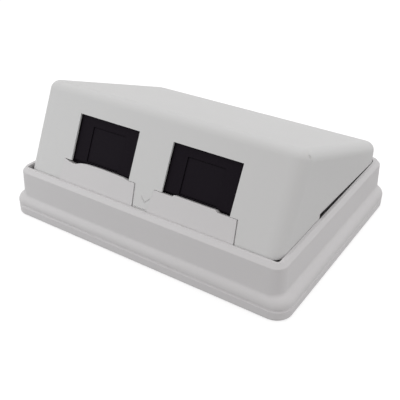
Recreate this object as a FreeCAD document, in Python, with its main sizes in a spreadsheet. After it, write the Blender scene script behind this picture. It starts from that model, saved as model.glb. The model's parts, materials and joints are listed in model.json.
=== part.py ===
import FreeCAD, Part
import math
import os
import Sketcher

# Two-port surface mount jack box: a back plate, a moulded surround, a hood cover that
# hooks in at the rear, and two shuttered jack modules behind the windows.
# +X is to the right, +Y to the back and +Z up. The origin is the centre of the base.

# ---------------------------------------------------------------- driving sizes, in mm

SIZES = [
    ("base_width", 100.0, "overall width"),
    ("base_depth", 76.8, "overall depth"),
    ("base_corner", 5.0, "plan radius of plate and flange"),
    ("plate_thick", 3.3, "back plate, up to the groove"),
    ("groove", 0.45, "chamfers that make the groove round the base"),
    ("foot_round", 0.7, "rounding of the plate's bottom edge"),
    ("flange_rise", 3.5, "flange above the plate"),
    ("bead_round", 2.6, "rounded bead on the flange"),
    ("side_step", 2.2, "flange edge to wall foot at the sides"),
    ("front_step", 1.3, "flange edge to wall foot at the front"),
    ("back_step", 0.5, "flange edge to wall foot at the back"),
    ("wall_rise", 9.5, "surround wall above the flange"),
    ("wall_draft", 3.5, "lean of the surround wall, degrees"),
    ("wall_corner", 4.0, "plan radius of the wall's foot"),
    ("wall_cove", 1.2, "hollow rounding between wall and bead"),
    ("lip_fall", 1.25, "how far the lip's top falls towards the outside"),
    ("lip_lean", 42.0, "lean of that slope from upright, degrees"),
    ("lip_round", 0.35, "rounding between the lip's slope and the wall"),
    ("lip_top_round", 0.15, "rounding between the lip's slope and its flat"),
    ("lip_inner_round", 0.12, "inner rounding of the lip"),
    ("inner_front_corner", 0.8, "plan radius of the opening's front corners"),
    ("inner_back_corner", 3.6, "plan radius of the opening's back corners"),
    ("skirt_drop", 0.8, "how far the hood reaches below the lip"),
    ("hood_play", 0.15, "gap between the hood's skirt and the surround, at the back"),
    ("side_play", 0.06, "the same gap at the sides"),
    ("front_play", 0.3, "the same gap at the front"),
    ("hood_half", 45.0, "half width of the hood at its skirt"),
    ("hood_draft", 0.8, "lean of the hood's side walls, degrees"),
    ("hood_front", 4.2, "hood skirt in from the front of the base"),
    ("hood_back", 2.6, "hood skirt in from the back of the base"),
    ("hood_rise", 26.5, "ridge above the skirt's lower edge"),
    ("hood_back_rise", 6.5, "back edge of the top above the skirt"),
    ("back_lean", 0.35, "back edge of the top in from the skirt"),
    ("face_lean", 25.2, "lean of the front face, degrees"),
    ("hood_wall", 1.8, "hood wall"),
    ("hood_corner", 4.2, "plan radius of the hood's corners"),
    ("hood_round", 3.0, "rounding of the ridge and top edges"),
    ("port_offset", 17.1, "window centre from the middle"),
    ("window_wide", 22.4, "window width"),
    ("window_tall", 14.6, "window height along the face"),
    ("window_low", 7.2, "window's lower edge above the skirt, along the face"),
    ("window_land", 0.6, "wall left round the window"),
    ("window_relief", 1.3, "relief behind the window beyond its edge"),
    ("tab_beyond", 2.3, "tab beyond the window at each side"),
    ("tab_flare", 7.3, "lean of the tab's side edges, degrees"),
    ("tab_thick", 1.6, "tab thickness"),
    ("tab_root", 4.0, "tab below the skirt's lower edge, along the face"),
    ("tab_play", 0.2, "gap beside the tab in its notch"),
    ("shoulder_play", 0.1, "gap above the tab's shoulders"),
    ("tab_proud", 0.3, "tab forward of the hood's face"),
    ("tab_groove", 0.35, "groove between the tab and the lip"),
    ("tab_arch", 0.56, "arch of the left tab's middle"),
    ("tab_dip", 0.67, "dip at the left tab's left end"),
    ("tab_land", 0.55, "raised middle of the right tab"),
    ("tab_land_wide", 13.6, "width of the raised middle"),
    ("slot_gap", 1.45, "height of the side slot at its front end"),
    ("slot_front", 9.5, "front end of the side slot, forward of the middle"),
    ("slot_back", 33.0, "back end of the side slot, behind the middle"),
    ("rib_wide", 4.0, "support rib, along the wall"),
    ("rib_deep", 1.6, "support rib, out from the wall"),
    ("rib_side_front", 24.0, "side rib forward of the middle"),
    ("rib_rear", 14.0, "rear ribs out from the middle"),
    ("boss_bite", 0.5, "how far a screw boss runs into the wall"),
    ("boss_radius", 3.1, "screw boss"),
    ("boss_rise", 9.5, "screw boss above the plate"),
    ("screw_radius", 1.25, "screw shank"),
    ("screw_play", 0.25, "gap round the shank in the plate"),
    ("screw_grip", 8.0, "shank above the plate"),
    ("head_radius", 2.5, "screw head"),
    ("head_tall", 1.5, "screw head height"),
    ("head_play", 0.3, "gap round the screw head"),
    ("cross_reach", 0.7, "cross recess, as a part of the head's radius"),
    ("cross_wide", 0.6, "cross recess slot width"),
    ("cross_deep", 0.8, "cross recess depth"),
    ("wall_hole_spacing", 60.3, "wall screw slots, centre to centre"),
    ("wall_hole_y", 20.0, "wall screw slots behind the middle"),
    ("wall_hole_radius", 2.2, "half width of a wall screw slot"),
    ("wall_hole_long", 8.4, "wall screw slot, end to end"),
    ("entry_wide", 26.0, "cable entry width"),
    ("entry_deep", 14.0, "cable entry depth"),
    ("entry_y", 20.0, "cable entry behind the middle"),
    ("entry_corner", 3.0, "corner radius of the cable entry"),
    ("rim_tall", 1.2, "locating rim on the plate"),
    ("rim_thick", 1.4, "locating rim thickness"),
    ("rim_play", 0.2, "gap between locating rim and surround"),
    ("rim_break", 0.5, "gap between the rim's ends and the screw bosses"),
    ("knockout_wide", 16.0, "knockout in the back wall"),
    ("knockout_tall", 6.5, "knockout height"),
    ("knockout_web", 0.7, "wall left in the knockout"),
    ("hook_x", 26.0, "hooks out from the middle"),
    ("hook_wide", 7.0, "hook width"),
    ("hook_drop", 3.4, "hook arm below the skirt"),
    ("hook_thick", 1.4, "hook arm thickness"),
    ("hook_nose", 0.7, "hook nose beyond the inside of the surround"),
    ("hook_nose_tall", 1.2, "hook nose height"),
    ("hook_play", 0.3, "gap round the hook nose in its socket"),
    ("arm_wide", 4.0, "front snap arm width"),
    ("arm_drop", 5.0, "snap arm below the skirt"),
    ("arm_thick", 1.2, "snap arm thickness"),
    ("nose_set", 0.9, "module nose behind the face of the hood"),
    ("nose_play", 0.2, "gap round the module nose in the window"),
    ("body_set", 1.9, "module body behind the face of the hood"),
    ("body_wide", 24.4, "module body width"),
    ("body_tall", 16.5, "module body height"),
    ("body_long", 18.0, "module body length"),
    ("cavity_wide", 12.2, "socket width"),
    ("cavity_floor", 6.2, "socket floor below the module's middle"),
    ("cavity_roof", 4.5, "socket roof above the module's middle"),
    ("cavity_end", 16.4, "socket end behind the face of the hood"),
    ("pocket_roof", 6.95, "shutter pocket roof above the middle"),
    ("pocket_end", 15.0, "shutter pocket end behind the face"),
    ("pocket_skin", 0.7, "wall in front of the shutter pocket"),
    ("pin_z", 6.0, "shutter pin above the middle"),
    ("pin_y", 2.6, "shutter pin behind the face"),
    ("pin_radius", 0.5, "shutter pin"),
    ("pin_seat", 1.2, "pin held in the module at each end"),
    ("pin_play", 0.05, "running gap round the pin"),
    ("knuckle_wall", 0.25, "shutter knuckle round its bore"),
    ("knuckle_long", 3.6, "shutter knuckle length"),
    ("shutter_play", 0.15, "gap round the shutter"),
    ("shutter_set", 1.2, "shutter behind the face of the hood"),
    ("shutter_thick", 1.1, "shutter thickness"),
    ("spring_wire", 0.28, "spring wire"),
    ("spring_mean", 0.75, "spring mean radius"),
    ("spring_turns", 5.0, "spring turns"),
    ("spring_pitch", 0.42, "spring pitch"),
    ("spring_leg", 4.0, "spring leg along the shutter"),
    ("wire_pitch", 1.02, "contact spacing"),
    ("wire_thick", 0.35, "contact wire"),
    ("wire_level", 0.8, "contact centre above the socket floor"),
    ("wire_front", 10.8, "contact bend behind the face"),
    ("wire_tip_y", 15.4, "contact tip behind the face"),
    ("wire_tip_rise", 3.3, "contact tip above the lower run"),
    ("comb_long", 3.8, "contact comb length"),
    ("comb_base", 0.5, "contact comb base"),
    ("comb_fin", 0.4, "contact comb fin"),
    ("comb_fin_tall", 1.2, "contact comb fin above the base"),
    ("board_wide", 22.0, "circuit board width"),
    ("board_tall", 14.0, "circuit board height"),
    ("board_thick", 1.6, "circuit board"),
    ("board_hole", 0.35, "contact hole radius in the board"),
    ("block_wide", 21.0, "terminal block width"),
    ("block_tall", 13.6, "terminal block height"),
    ("block_long", 7.0, "terminal block length"),
    ("terminal_pitch", 4.6, "terminal spacing"),
    ("terminal_row", 4.0, "terminal row from the middle"),
    ("terminal_slot", 1.1, "wire slot width"),
    ("terminal_inner", 1.4, "wire slot's inner end from the middle"),
    ("terminal_deep", 5.0, "wire slot depth"),
    ("blade_wide", 2.4, "blade width"),
    ("blade_thick", 0.5, "blade thickness"),
    ("blade_long", 4.6, "blade length"),
    ("blade_slit", 0.35, "blade slit width"),
    ("blade_slit_deep", 3.2, "blade slit depth"),
    ("blade_play", 0.1, "gap round the blade"),
    ("cap_thick", 2.4, "wire cap thickness"),
    ("cap_tall", 14.2, "wire cap height"),
    ("cap_side", 0.8, "wire cap side wall"),
    ("cap_play", 0.1, "gap between wire cap and block"),
    ("cap_grip", 4.0, "wire cap side walls along the block"),
    ("cap_notch", 1.5, "wire notch in the cap"),
    ("cradle_thick", 2.0, "cradle rib thickness"),
    ("cradle_x", 9.0, "cradle ribs either side of the port's middle"),
    ("cradle_start", 7.0, "cradle rib start behind the face"),
    ("cradle_stop", 1.0, "cradle stop above the module's underside"),
    ("cradle_stop_long", 1.6, "cradle stop length"),
]

SLACK = 0.02  # how closely a point of an edge is compared with a place, in mm
OVERCUT = 1.0  # how far a cutting outline runs past the solid it cuts, in mm

doc = FreeCAD.newDocument("jack_box")
sheet = doc.addObject("Spreadsheet::Sheet", "Sizes")


class Formula:
    """A number together with the spreadsheet expression that gives it."""

    def __init__(self, value, text):
        self.value = float(value)
        self.text = text

    def __add__(self, other):
        other = formula(other)
        return Formula(self.value + other.value, "(%s + %s)" % (self.text, other.text))

    def __sub__(self, other):
        other = formula(other)
        return Formula(self.value - other.value, "(%s - %s)" % (self.text, other.text))

    def __mul__(self, other):
        other = formula(other)
        return Formula(self.value * other.value, "(%s * %s)" % (self.text, other.text))

    def __truediv__(self, other):
        other = formula(other)
        return Formula(self.value / other.value, "(%s / %s)" % (self.text, other.text))

    def __radd__(self, other):
        return formula(other) + self

    def __rsub__(self, other):
        return formula(other) - self

    def __rmul__(self, other):
        return formula(other) * self

    def __neg__(self):
        return Formula(-self.value, "(0 - %s)" % self.text)


def formula(number):
    """Wrap a plain number, and leave a Formula as it is."""
    if isinstance(number, Formula):
        return number
    return Formula(number, repr(float(number)))


def tan_of(angle):
    return Formula(math.tan(math.radians(angle.value)), "tan(%s)" % angle.text)


def sin_of(angle):
    return Formula(math.sin(math.radians(angle.value)), "sin(%s)" % angle.text)


def cos_of(angle):
    return Formula(math.cos(math.radians(angle.value)), "cos(%s)" % angle.text)


def root_of(number):
    return Formula(math.sqrt(number.value), "sqrt(%s)" % number.text)


def fill_sheet():
    """Write every driving size into the sheet with its alias."""
    for row, (alias, value, note) in enumerate(SIZES, start=1):
        sheet.set("A%d" % row, note)
        sheet.set("B%d" % row, repr(value))
        sheet.setAlias("B%d" % row, alias)
    doc.recompute()


class Sheet:
    """Gives each size by name, as a Formula read from the spreadsheet."""

    def __getattr__(self, alias):
        return Formula(sheet.get(alias), "Sizes.%s" % alias)


fill_sheet()
s = Sheet()

# ---------------------------------------------------------------- places worked out from the sizes

flange_top = s.plate_thick + s.flange_rise
lip_top = flange_top + s.wall_rise
skirt_z = lip_top - s.skirt_drop
ridge_z = skirt_z + s.hood_rise
skirt_front_y = s.hood_front - s.base_depth / 2
skirt_back_y = s.base_depth / 2 - s.hood_back
ridge_y = skirt_front_y + s.hood_rise * tan_of(s.face_lean)
top_back_y = skirt_back_y - s.back_lean
top_back_z = skirt_z + s.hood_back_rise
opening_front_y = skirt_front_y - s.front_play
opening_back_y = skirt_back_y + s.hood_play
opening_half = s.hood_half + s.side_play
window_middle = s.window_low + s.window_tall / 2
face_y = skirt_front_y + window_middle * sin_of(s.face_lean)
face_z = skirt_z + window_middle * cos_of(s.face_lean)
body_end = s.body_set + s.body_long
board_end = body_end + s.board_thick
block_end = board_end + s.block_long
tab_half = s.window_wide / 2 + s.tab_beyond
knuckle_radius = s.pin_radius + s.pin_play + s.knuckle_wall
shutter_back = s.shutter_set + s.shutter_thick
wire_z = s.wire_level - s.cavity_floor


# ---------------------------------------------------------------- drawing and feature helpers


def origin_plane(body, role):
    """One of the body's own origin planes."""
    return next(item for item in body.Origin.OriginFeatures if item.Role == role)


def new_body(label):
    body = doc.addObject("PartDesign::Body", label)
    body.Label = label
    return body


def new_sketch(body, name, role, offset=0):
    """A sketch on one of the body's origin planes, moved along that plane's normal."""
    sketch = body.newObject("Sketcher::SketchObject", name)
    sketch.AttachmentSupport = [(origin_plane(body, role), "")]
    sketch.MapMode = "FlatFace"
    sketch.setExpression("AttachmentOffset.Base.z", formula(offset).text)
    return sketch


def bind(sketch, index, name, rule):
    """Name a sketch constraint and tie it to its formula."""
    sketch.renameConstraint(index, name)
    sketch.setExpression("Constraints." + name, rule.text)


def pin_point(sketch, geometry, end, x, y, name):
    """Hold one point of a sketch at x, y from its origin."""
    across = sketch.addConstraint(
        Sketcher.Constraint("DistanceX", -1, 1, geometry, end, x.value))
    bind(sketch, across, name + "_x", x)
    up = sketch.addConstraint(
        Sketcher.Constraint("DistanceY", -1, 1, geometry, end, y.value))
    bind(sketch, up, name + "_y", y)


def polygon(sketch, points):
    """A closed outline of straight edges through the points."""
    points = [(formula(x), formula(y)) for x, y in points]
    first = sketch.GeometryCount
    count = len(points)
    for i in range(count):
        x0, y0 = points[i]
        x1, y1 = points[(i + 1) % count]
        sketch.addGeometry(Part.LineSegment(
            FreeCAD.Vector(x0.value, y0.value, 0),
            FreeCAD.Vector(x1.value, y1.value, 0)), False)
    for i in range(count):
        following = first + (i + 1) % count
        sketch.addConstraint(Sketcher.Constraint("Coincident", first + i, 2, following, 1))
        pin_point(sketch, first + i, 1, points[i][0], points[i][1], "p%d" % (first + i))


def rectangle(sketch, x0, x1, y0, y1):
    polygon(sketch, [(x0, y0), (x1, y0), (x1, y1), (x0, y1)])


def cross(sketch, x, y, reach, half):
    """A cross of two equal slots."""
    polygon(sketch, [(x - reach, y - half), (x - half, y - half), (x - half, y - reach),
                     (x + half, y - reach), (x + half, y - half), (x + reach, y - half),
                     (x + reach, y + half), (x + half, y + half), (x + half, y + reach),
                     (x - half, y + reach), (x - half, y + half), (x - reach, y + half)])


def rounded_rectangle(sketch, x0, x1, y0, y1, radius, far_radius=None):
    """A rectangle with round corners, tied at its tangent points and arc centres.

    The corners at y1 take far_radius where it is given.
    """
    near_r = formula(radius)
    far_r = near_r if far_radius is None else formula(far_radius)
    low, high = y0 + near_r, y1 - far_r
    sides = [((x0 + near_r, y0), (x1 - near_r, y0)), ((x1, low), (x1, high)),
             ((x1 - far_r, y1), (x0 + far_r, y1)), ((x0, high), (x0, low))]
    centres = [(x1 - near_r, low), (x1 - far_r, high), (x0 + far_r, high), (x0 + near_r, low)]
    radii = [near_r, far_r, far_r, near_r]
    first = sketch.GeometryCount
    for number, (start, end) in enumerate(sides):
        sketch.addGeometry(Part.LineSegment(
            FreeCAD.Vector(start[0].value, start[1].value, 0),
            FreeCAD.Vector(end[0].value, end[1].value, 0)), False)
        centre = centres[number]
        ring = Part.Circle(FreeCAD.Vector(centre[0].value, centre[1].value, 0),
                           FreeCAD.Vector(0, 0, 1), radii[number].value)
        begin = (number - 1) * math.pi / 2
        sketch.addGeometry(Part.ArcOfCircle(ring, begin, begin + math.pi / 2), False)
    for number, (start, end) in enumerate(sides):
        line, arc = first + 2 * number, first + 2 * number + 1
        following = first + (2 * number + 2) % 8
        sketch.addConstraint(Sketcher.Constraint("Coincident", line, 2, arc, 1))
        sketch.addConstraint(Sketcher.Constraint("Coincident", arc, 2, following, 1))
        pin_point(sketch, line, 1, start[0], start[1], "p%d" % line)
        pin_point(sketch, line, 2, end[0], end[1], "q%d" % line)
        middle = sketch.addConstraint(
            Sketcher.Constraint("DistanceX", -1, 1, arc, 3, centres[number][0].value))
        bind(sketch, middle, "m%d" % arc, centres[number][0])


def circle(sketch, x, y, radius):
    x, y, radius = formula(x), formula(y), formula(radius)
    index = sketch.addGeometry(Part.Circle(
        FreeCAD.Vector(x.value, y.value, 0), FreeCAD.Vector(0, 0, 1), radius.value), False)
    pin_point(sketch, index, 3, x, y, "c%d" % index)
    size = sketch.addConstraint(Sketcher.Constraint("Radius", index, radius.value))
    bind(sketch, size, "r%d" % index, radius)


def slot(sketch, x, y, length, radius):
    """A slot along X with round ends, centred on x, y."""
    reach = length / 2 - radius
    left, right = x - reach, x + reach
    below, above = y - radius, y + radius
    first = sketch.GeometryCount

    def line(x0, y0, x1, y1):
        sketch.addGeometry(Part.LineSegment(
            FreeCAD.Vector(x0.value, y0.value, 0), FreeCAD.Vector(x1.value, y1.value, 0)), False)

    def half_round(centre, start):
        ring = Part.Circle(FreeCAD.Vector(centre.value, y.value, 0),
                           FreeCAD.Vector(0, 0, 1), radius.value)
        sketch.addGeometry(Part.ArcOfCircle(ring, start, start + math.pi), False)

    line(left, below, right, below)
    half_round(right, -math.pi / 2)
    line(right, above, left, above)
    half_round(left, math.pi / 2)
    for i in range(4):
        following = first + (i + 1) % 4
        sketch.addConstraint(Sketcher.Constraint("Coincident", first + i, 2, following, 1))
    pin_point(sketch, first, 1, left, below, "p%d" % first)
    pin_point(sketch, first, 2, right, below, "q%d" % first)
    pin_point(sketch, first + 2, 1, right, above, "p%d" % (first + 2))
    pin_point(sketch, first + 2, 2, left, above, "q%d" % (first + 2))
    for arc, centre in ((first + 1, right), (first + 3, left)):
        middle = sketch.addConstraint(
            Sketcher.Constraint("DistanceX", -1, 1, arc, 3, centre.value))
        bind(sketch, middle, "m%d" % arc, centre)


def extrude(body, kind, name, sketch, length, back=False, middle=False, lean=None):
    """Pad or Pocket a sketch. Returns the feature."""
    feature = body.newObject("PartDesign::" + kind, name)
    feature.Profile = sketch
    feature.setExpression("Length", formula(length).text)
    feature.Reversed = back
    feature.Midplane = middle
    if lean is not None:
        feature.setExpression("TaperAngle", lean.text)
    before = feature.BaseFeature.Shape.Volume if feature.BaseFeature else 0.0
    doc.recompute()
    change = feature.Shape.Volume - before
    if (change > 0) != (kind == "Pad"):
        raise ValueError("%s of %s changed the solid by %.4f mm3" % (name, body.Label, change))
    return feature


def pad(body, name, sketch, length, **options):
    return extrude(body, "Pad", name, sketch, length, **options)


def pocket(body, name, sketch, length, **options):
    return extrude(body, "Pocket", name, sketch, length, **options)


def edges_where(shape, test):
    """Names of the edges whose sample points all pass the test."""
    names = []
    for number, edge in enumerate(shape.Edges, start=1):
        start, span = edge.FirstParameter, edge.LastParameter - edge.FirstParameter
        if all(test(edge.valueAt(start + part * span)) for part in (0.0, 0.3, 0.5, 0.7, 1.0)):
            names.append("Edge%d" % number)
    return names


def upright(edge):
    """True for an edge that rises steeply."""
    start, end = edge.Vertexes[0].Point, edge.Vertexes[-1].Point
    return abs(end.z - start.z) > 2 * math.hypot(end.x - start.x, end.y - start.y)


def upright_edges(shape, test):
    """Names of steep edges whose middle passes the test."""
    names = []
    for number, edge in enumerate(shape.Edges, start=1):
        if len(edge.Vertexes) == 2 and upright(edge):
            middle = (edge.Vertexes[0].Point + edge.Vertexes[1].Point) * 0.5
            if test(middle):
                names.append("Edge%d" % number)
    return names


def dress(body, kind, name, edges, size):
    """Fillet or Chamfer the named edges of the body's tip."""
    if not edges:
        raise ValueError("%s of %s found no edge" % (name, body.Label))
    base = body.Tip
    feature = body.newObject("PartDesign::" + kind, name)
    feature.Base = (base, edges)
    feature.setExpression("Radius" if kind == "Fillet" else "Size", formula(size).text)
    doc.recompute()
    if "Invalid" in feature.State or not feature.Shape.isValid():
        raise ValueError("%s of %s failed" % (name, body.Label))
    return feature


def near(a, b):
    return abs(a - b) < SLACK


# ---------------------------------------------------------------- back plate and surround


def boss_places():
    """The four screw places, as X and Y."""
    inset = s.boss_radius - s.boss_bite
    return [(side * (opening_half - inset), y) for side in (-1, 1)
            for y in (opening_front_y + inset, opening_back_y - inset)]


def module_point(along, up):
    """World Y and Z of a point of a module: along its axis and up its face."""
    y = face_y + along * cos_of(s.face_lean) + up * sin_of(s.face_lean)
    z = face_z - along * sin_of(s.face_lean) + up * cos_of(s.face_lean)
    return y, z


def make_back_plate():
    """Flat plate with wall slots, cable entry, locating rim and module cradles."""
    body = new_body("back_plate")
    outline = new_sketch(body, "plate_outline", "XY_Plane")
    rounded_rectangle(outline, -s.base_width / 2, s.base_width / 2,
                      -s.base_depth / 2, s.base_depth / 2, s.base_corner)
    pad(body, "plate", outline, s.plate_thick)
    dress(body, "Fillet", "plate_foot",
          edges_where(body.Shape, lambda p: near(p.z, 0)), s.foot_round)
    top = s.plate_thick.value
    dress(body, "Chamfer", "plate_groove",
          edges_where(body.Shape, lambda p: near(p.z, top)), s.groove)

    rim_x = opening_half - s.rim_play
    rim_front, rim_back = opening_front_y + s.rim_play, opening_back_y - s.rim_play
    rim = new_sketch(body, "rim_outline", "XY_Plane", s.plate_thick)
    rectangle(rim, -rim_x, rim_x, rim_front, rim_back)
    rectangle(rim, -rim_x + s.rim_thick, rim_x - s.rim_thick,
              rim_front + s.rim_thick, rim_back - s.rim_thick)
    pad(body, "locating_rim", rim, s.rim_tall)
    clear = new_sketch(body, "boss_clearance", "XY_Plane", s.plate_thick)
    for x, y in boss_places():
        circle(clear, x, y, s.boss_radius + s.rim_break)
    pocket(body, "rim_gaps", clear, s.rim_tall, back=True)

    cradle_end = s.cradle_stop_long + body_end
    low = -s.body_tall / 2
    for port in (-1, 1):
        for side in (-1, 1):
            x = port * s.port_offset + side * s.cradle_x - s.cradle_thick / 2
            name = "cradle_%s_%s" % ("right" if port > 0 else "left", "b" if side > 0 else "a")
            profile = new_sketch(body, name + "_profile", "YZ_Plane", x)
            start = module_point(s.cradle_start, low)
            seat_end = module_point(body_end, low)
            stop_near = module_point(body_end, low + s.cradle_stop)
            stop_far = module_point(cradle_end, low + s.cradle_stop)
            polygon(profile, [(start[0], s.plate_thick), start, seat_end, stop_near, stop_far,
                              (stop_far[0], s.plate_thick)])
            pad(body, name, profile, s.cradle_thick)

    slots = new_sketch(body, "wall_slot_outlines", "XY_Plane")
    for side in (-1, 1):
        slot(slots, side * s.wall_hole_spacing / 2, s.wall_hole_y, s.wall_hole_long,
             s.wall_hole_radius)
    pocket(body, "wall_slots", slots, s.plate_thick, back=True)

    entry = new_sketch(body, "entry_outline", "XY_Plane")
    half = s.entry_wide / 2
    rounded_rectangle(entry, -half, half, s.entry_y - s.entry_deep / 2,
                      s.entry_y + s.entry_deep / 2, s.entry_corner)
    pocket(body, "cable_entry", entry, s.plate_thick, back=True)

    holes = new_sketch(body, "screw_holes", "XY_Plane")
    heads = new_sketch(body, "head_recesses", "XY_Plane")
    for x, y in boss_places():
        circle(holes, x, y, s.screw_radius + s.screw_play)
        circle(heads, x, y, s.head_radius + s.head_play)
    pocket(body, "screw_clearance", holes, s.plate_thick, back=True)
    pocket(body, "screw_heads", heads, s.head_tall, back=True)
    return body


def make_base_frame():
    """Surround: flange with bead, drafted wall, lip, tabs, bosses and hook sockets."""
    body = new_body("base_frame")
    outline = new_sketch(body, "flange_outline", "XY_Plane", s.plate_thick)
    rounded_rectangle(outline, -s.base_width / 2, s.base_width / 2,
                      -s.base_depth / 2, s.base_depth / 2, s.base_corner)
    pad(body, "flange", outline, s.flange_rise)
    flange_z, plate_z, lip_z = flange_top.value, s.plate_thick.value, lip_top.value
    dress(body, "Fillet", "flange_bead",
          edges_where(body.Shape, lambda p: near(p.z, flange_z)), s.bead_round)
    dress(body, "Chamfer", "flange_groove",
          edges_where(body.Shape, lambda p: near(p.z, plate_z)), s.groove)

    wall = new_sketch(body, "wall_outline", "XY_Plane", flange_top - s.bead_round)
    wall_x = s.base_width / 2 - s.side_step
    wall_front, wall_back = s.front_step - s.base_depth / 2, s.base_depth / 2 - s.back_step
    rounded_rectangle(wall, -wall_x, wall_x, wall_front, wall_back, s.wall_corner)
    wall_tall = s.wall_rise - s.lip_fall + s.bead_round
    pad(body, "wall", wall, wall_tall, lean=-s.wall_draft)
    foot_x, foot_front, foot_back = wall_x.value, wall_front.value, wall_back.value
    foot_low = flange_z - s.bead_round.value
    dress(body, "Fillet", "wall_foot_cove",
          edges_where(body.Shape, lambda p: foot_low + SLACK < p.z < flange_z + SLACK
                      and abs(p.x) < foot_x + SLACK
                      and foot_front - SLACK < p.y < foot_back + SLACK), s.wall_cove)
    drawn_in = wall_tall * tan_of(s.wall_draft)
    lip = new_sketch(body, "lip_outline", "XY_Plane", lip_top - s.lip_fall)
    rounded_rectangle(lip, drawn_in - wall_x, wall_x - drawn_in, wall_front + drawn_in,
                      wall_back - drawn_in, s.wall_corner - drawn_in)
    pad(body, "lip", lip, s.lip_fall, lean=-s.lip_lean)
    slope_z = lip_z - s.lip_fall.value
    dress(body, "Fillet", "lip_outside",
          edges_where(body.Shape, lambda p: near(p.z, slope_z)), s.lip_round)
    dress(body, "Fillet", "lip_crest",
          edges_where(body.Shape, lambda p: near(p.z, lip_z)), s.lip_top_round)

    opening = new_sketch(body, "opening_outline", "XY_Plane", s.plate_thick)
    rounded_rectangle(opening, -opening_half, opening_half, opening_front_y, opening_back_y,
                      s.inner_front_corner, s.inner_back_corner)
    pocket(body, "opening", opening, s.flange_rise + s.wall_rise, back=True)
    half, front, rear = opening_half.value, opening_front_y.value, opening_back_y.value
    dress(body, "Fillet", "lip_inside",
          edges_where(body.Shape, lambda p: near(p.z, lip_z) and abs(p.x) < half + SLACK
                      and front - SLACK < p.y < rear + SLACK), s.lip_inner_round)

    add_bosses(body)
    add_ribs(body)
    add_tabs(body)
    add_sockets(body)
    return body


def add_bosses(body):
    """Four posts that take the base screws."""
    posts = new_sketch(body, "boss_outlines", "XY_Plane", s.plate_thick)
    bores = new_sketch(body, "boss_bores", "XY_Plane", s.plate_thick)
    for x, y in boss_places():
        circle(posts, x, y, s.boss_radius)
        circle(bores, x, y, s.screw_radius)
    pad(body, "bosses", posts, s.boss_rise)
    pocket(body, "boss_holes", bores, s.screw_grip, back=True)


def add_ribs(body):
    """Ribs on the inside of the wall, level with the hood's lower edge."""
    ribs = new_sketch(body, "rib_outlines", "XY_Plane", flange_top)
    half_rib, into = s.rib_wide / 2, formula(0.5)
    inner = opening_half - s.rib_deep
    for side in (-1, 1):
        near_x, far_x = side * inner, side * (opening_half + into)
        low_x, high_x = (near_x, far_x) if side > 0 else (far_x, near_x)
        rectangle(ribs, low_x, high_x, -s.rib_side_front - half_rib, -s.rib_side_front + half_rib)
        rear_x = side * s.rib_rear
        rectangle(ribs, rear_x - half_rib, rear_x + half_rib,
                  opening_back_y - s.rib_deep, opening_back_y + into)
    pad(body, "ribs", ribs, skirt_z - flange_top)


def face_sketch(body, name, depth):
    """A sketch in the plane of the hood's front face, that far behind it.

    Its X is the row's X and its Y runs up the face from the skirt's lower edge.
    """
    sketch = body.newObject("Sketcher::SketchObject", name)
    sketch.AttachmentSupport = [(origin_plane(body, "XZ_Plane"), "")]
    sketch.MapMode = "FlatFace"
    offset_y = skirt_front_y + depth * cos_of(s.face_lean)
    offset_z = skirt_z - depth * sin_of(s.face_lean)
    sketch.AttachmentOffset = FreeCAD.Placement(
        FreeCAD.Vector(0, 0, 0), FreeCAD.Rotation(FreeCAD.Vector(-1, 0, 0), s.face_lean.value))
    sketch.setExpression("AttachmentOffset.Base.y", offset_z.text)
    sketch.setExpression("AttachmentOffset.Base.z", (-offset_y).text)
    sketch.setExpression("AttachmentOffset.Rotation.Angle", s.face_lean.text)
    return sketch


def tab_side(up):
    """Half width of a tab at that height up the face."""
    return tab_half + (s.window_low - up) * tan_of(s.tab_flare)


def add_tabs(body):
    """The two upstand tabs that close the notches under the windows."""
    low, high = -s.tab_root, s.window_low
    left, right = -s.port_offset, s.port_offset
    plain = face_sketch(body, "tab_outlines", -s.tab_proud)
    foot_half = tab_side(low)
    # Along the left tab's top from its right end, as parts of half its width.
    arch = [(0.82, 0.0), (0.68, 0.7), (0.35, 0.95), (0.0, 1.0), (-0.38, 0.75), (-0.54, 0.2)]
    top = [(left + part * tab_half, high + rise * s.tab_arch) for part, rise in arch]
    dip = [(left - part * tab_half, high - fall * s.tab_dip)
           for part, fall in ((0.68, 0.9), (0.76, 1.0), (0.88, 0.55))]
    polygon(plain, [(left - foot_half, low), (left + foot_half, low), (left + tab_half, high)]
            + top + dip + [(left - tab_half, high)])
    land = s.tab_land_wide / 2
    bevel = s.tab_land
    polygon(plain, [(right - foot_half, low), (right + foot_half, low),
                    (right + tab_half, high), (right + land + bevel, high),
                    (right + land, high + s.tab_land), (right - land, high + s.tab_land),
                    (right - land - bevel, high), (right - tab_half, high)])
    pad(body, "tabs", plain, s.tab_thick + s.tab_proud, back=True)
    foot_top = lip_top - s.tab_groove
    foot_front = opening_front_y - s.lip_inner_round
    foot_back = skirt_front_y + (s.skirt_drop - s.tab_groove) * tan_of(s.face_lean)
    for side, name in ((-1, "left"), (1, "right")):
        foot = new_sketch(body, name + "_foot_profile", "YZ_Plane",
                          side * s.port_offset - tab_side(formula(0)))
        polygon(foot, [(foot_front, skirt_z), (foot_back, skirt_z), (foot_back, foot_top),
                       (foot_front, foot_top)])
        pad(body, name + "_tab_foot", foot, 2 * tab_side(formula(0)))


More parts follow.
